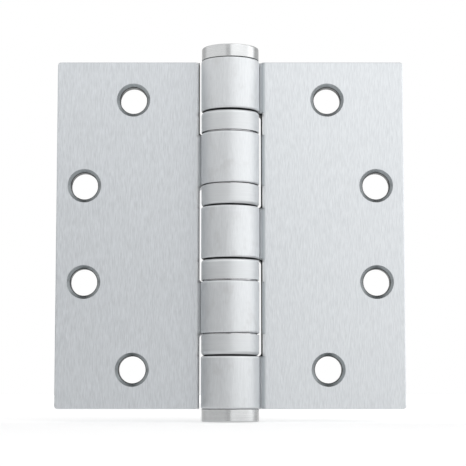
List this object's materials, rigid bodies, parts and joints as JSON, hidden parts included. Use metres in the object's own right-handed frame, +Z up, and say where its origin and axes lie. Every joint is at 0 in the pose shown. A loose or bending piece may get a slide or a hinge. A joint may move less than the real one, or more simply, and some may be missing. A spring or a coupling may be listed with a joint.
{
  "type": "ball bearing butt hinge",
  "caption": "Square-cornered full mortise butt hinge, open flat: two brushed leaves with countersunk holes, a knuckled barrel with ball bearings between knuckles, flat button tips.",
  "frame": {"origin": "on the pin's axis, halfway up the leaves", "axes": "+Z up along the pin, +X towards the three-knuckle leaf, +Y through the leaves from the countersunk front to the back"},
  "size_m": [0.1142, 0.019, 0.1226],
  "materials": {
    "satin_leaf": "satin chrome over steel, brushed along the height",
    "turned_tip": "satin chrome over steel, turned, finer and shinier",
    "bearing_cup": "satin chrome over steel, brushed round",
    "bearing_steel": "hardened and ground, lightly greased",
    "bearing_cage": "stamped, plain"
  },
  "bodies": {
    "jamb_side": {"three_knuckle_leaf": "satin_leaf", "hinge_pin": "turned_tip", "bottom_tip": "turned_tip", "bearing_1_cup": "bearing_cup", "bearing_2_cup": "bearing_cup", "bearing_3_cup": "bearing_cup", "bearing_4_cup": "bearing_cup"},
    "door_side": {"two_knuckle_leaf": "satin_leaf", "bearing_1_race": "bearing_steel", "bearing_2_race": "bearing_steel", "bearing_3_race": "bearing_steel", "bearing_4_race": "bearing_steel"},
    "bearing_1_retainer": {"bearing_1_cage": "bearing_cage", "bearing_1_balls": "bearing_steel"},
    "bearing_2_retainer": {"bearing_2_cage": "bearing_cage", "bearing_2_balls": "bearing_steel"},
    "bearing_3_retainer": {"bearing_3_cage": "bearing_cage", "bearing_3_balls": "bearing_steel"},
    "bearing_4_retainer": {"bearing_4_cage": "bearing_cage", "bearing_4_balls": "bearing_steel"}
  },
  "joints": [
    {"name": "leaf_swing", "type": "hinge", "parent": "jamb_side", "child": "door_side", "pos_m": [0, 0, 0], "axis": [0, 0, 1], "range_deg": [-90, 180]},
    {"name": "bearing_1_roll", "type": "hinge", "parent": "jamb_side", "child": "bearing_1_retainer", "pos_m": [0, 0, 0], "axis": [0, 0, 1], "range_deg": [-46, 91]},
    {"name": "bearing_2_roll", "type": "hinge", "parent": "jamb_side", "child": "bearing_2_retainer", "pos_m": [0, 0, 0], "axis": [0, 0, 1], "range_deg": [-46, 91]},
    {"name": "bearing_3_roll", "type": "hinge", "parent": "jamb_side", "child": "bearing_3_retainer", "pos_m": [0, 0, 0], "axis": [0, 0, 1], "range_deg": [-46, 91]},
    {"name": "bearing_4_roll", "type": "hinge", "parent": "jamb_side", "child": "bearing_4_retainer", "pos_m": [0, 0, 0], "axis": [0, 0, 1], "range_deg": [-46, 91]}
  ],
  "couplings": [
    {"joint": "bearing_1_roll", "follows": "leaf_swing", "ratio": 0.5},
    {"joint": "bearing_2_roll", "follows": "leaf_swing", "ratio": 0.5},
    {"joint": "bearing_3_roll", "follows": "leaf_swing", "ratio": 0.5},
    {"joint": "bearing_4_roll", "follows": "leaf_swing", "ratio": 0.5}
  ]
}
